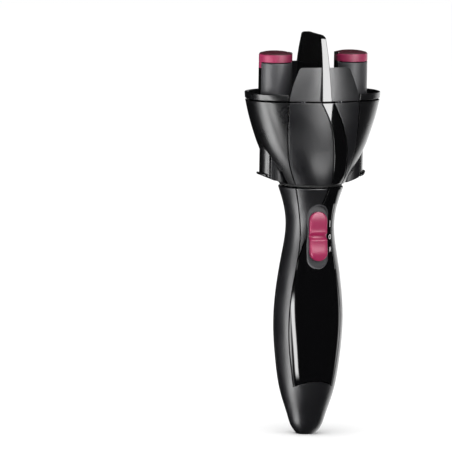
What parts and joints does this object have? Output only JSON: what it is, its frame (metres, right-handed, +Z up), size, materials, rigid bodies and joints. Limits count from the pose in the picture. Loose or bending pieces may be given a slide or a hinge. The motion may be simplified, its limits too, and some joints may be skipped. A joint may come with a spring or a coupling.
{
  "type": "automatic hair braider",
  "caption": "Handheld hair braider with a tapered handle, slide switch and rotor head carrying two sprung hair tubes either side of a dividing fin.",
  "frame": {"origin": "middle of the flat at the lower end of the handle", "axes": "+Z up the long axis to the fin; -Y is the switch side; +X is to the right of someone who looks at the switch; the two hair tubes lie on the X axis"},
  "size_m": [0.0898, 0.058, 0.2596],
  "materials": {
    "satin_black": "fine satin texture, black ABS",
    "gloss_black": "polished black ABS",
    "smooth_black": "smooth semi-gloss black ABS",
    "magenta": "semi-gloss magenta ABS",
    "grey_recess": "matte charcoal ABS",
    "frame_black": "moulded black ABS, inside the housing",
    "gear_acetal": "natural acetal, smooth",
    "steel": "bright drawn steel",
    "motor_can": "plated can",
    "bush_bronze": "sintered bronze",
    "contact_metal": "nickel plated",
    "cell_jacket": "smooth printed jacket left plain"
  },
  "bodies": {
    "handle": {"handle_front_shell": "satin_black", "front_panel": "gloss_black", "neck_panel": "satin_black", "handle_back_shell": "satin_black", "handle_screws": "steel", "switch_tray": "grey_recess", "slide_switch": "frame_black", "motor": "motor_can", "gearbox": "frame_black", "neck_bulkhead": "frame_black", "one_way_clutch": "steel", "neck_bush": "gear_acetal", "battery_tray": "frame_black", "left_cell": "cell_jacket", "right_cell": "cell_jacket", "contact_plates": "contact_metal", "contact_springs": "contact_metal"},
    "slider": {"switch_slider": "magenta"},
    "door": {"battery_door": "satin_black"},
    "head": {"front_petal": "satin_black", "rear_petal": "satin_black", "front_sweep": "gloss_black", "rear_sweep": "gloss_black", "right_wing": "smooth_black", "left_wing": "smooth_black", "head_core": "frame_black", "shaft_bushes": "bush_bronze", "crown": "smooth_black", "head_screws": "steel", "front_shield": "satin_black", "rear_shield": "satin_black", "fin": "gloss_black", "retaining_ring": "steel"},
    "drive": {"drive_shaft": "steel", "sun_gear": "gear_acetal"},
    "right_tube": {"right_spool": "gloss_black", "right_ring_gear": "gear_acetal", "right_pivot_pin": "steel", "right_jaw_spring": "steel"},
    "right_clip": {"right_jaw": "gloss_black", "right_front_jaw_panel": "satin_black", "right_rear_jaw_panel": "satin_black", "right_cap": "magenta"},
    "left_tube": {"left_spool": "gloss_black", "left_ring_gear": "gear_acetal", "left_pivot_pin": "steel", "left_jaw_spring": "steel"},
    "left_clip": {"left_jaw": "gloss_black", "left_front_jaw_panel": "satin_black", "left_rear_jaw_panel": "satin_black", "left_cap": "magenta"}
  },
  "joints": [
    {"name": "head_spin", "type": "hinge", "parent": "handle", "child": "head", "pos_m": [0, 0, 0.162], "axis": [0, 0, 1], "continuous": true},
    {"name": "drive_spin", "type": "hinge", "parent": "head", "child": "drive", "pos_m": [0, 0, 0.2], "axis": [0, 0, 1], "continuous": true},
    {"name": "right_tube_spin", "type": "hinge", "parent": "head", "child": "right_tube", "pos_m": [0.0256, 0, 0.2], "axis": [0, 0, 1], "continuous": true},
    {"name": "left_tube_spin", "type": "hinge", "parent": "head", "child": "left_tube", "pos_m": [-0.0256, 0, 0.2], "axis": [0, 0, 1], "continuous": true},
    {"name": "right_jaw_open", "type": "hinge", "parent": "right_tube", "child": "right_clip", "pos_m": [0.0288, 0, 0.2022], "axis": [0, 1, 0], "range_deg": [0, 6], "stiffness_Nm_per_rad": 0.3, "springref_deg": -17.19},
    {"name": "left_jaw_open", "type": "hinge", "parent": "left_tube", "child": "left_clip", "pos_m": [-0.0288, 0, 0.2022], "axis": [0, -1, 0], "range_deg": [0, 6], "stiffness_Nm_per_rad": 0.3, "springref_deg": -17.19},
    {"name": "switch_slide", "type": "slide", "parent": "handle", "child": "slider", "axis": [0, 0.0454, 0.999], "range_m": [-0.004, 0.004]},
    {"name": "battery_door_open", "type": "hinge", "parent": "handle", "child": "door", "pos_m": [0, 0.0193, 0.0992], "axis": [1, 0, 0], "range_deg": [0, 60]}
  ],
  "couplings": [
    {"joint": "right_tube_spin", "follows": "drive_spin", "ratio": -1},
    {"joint": "left_tube_spin", "follows": "drive_spin", "ratio": -1}
  ]
}
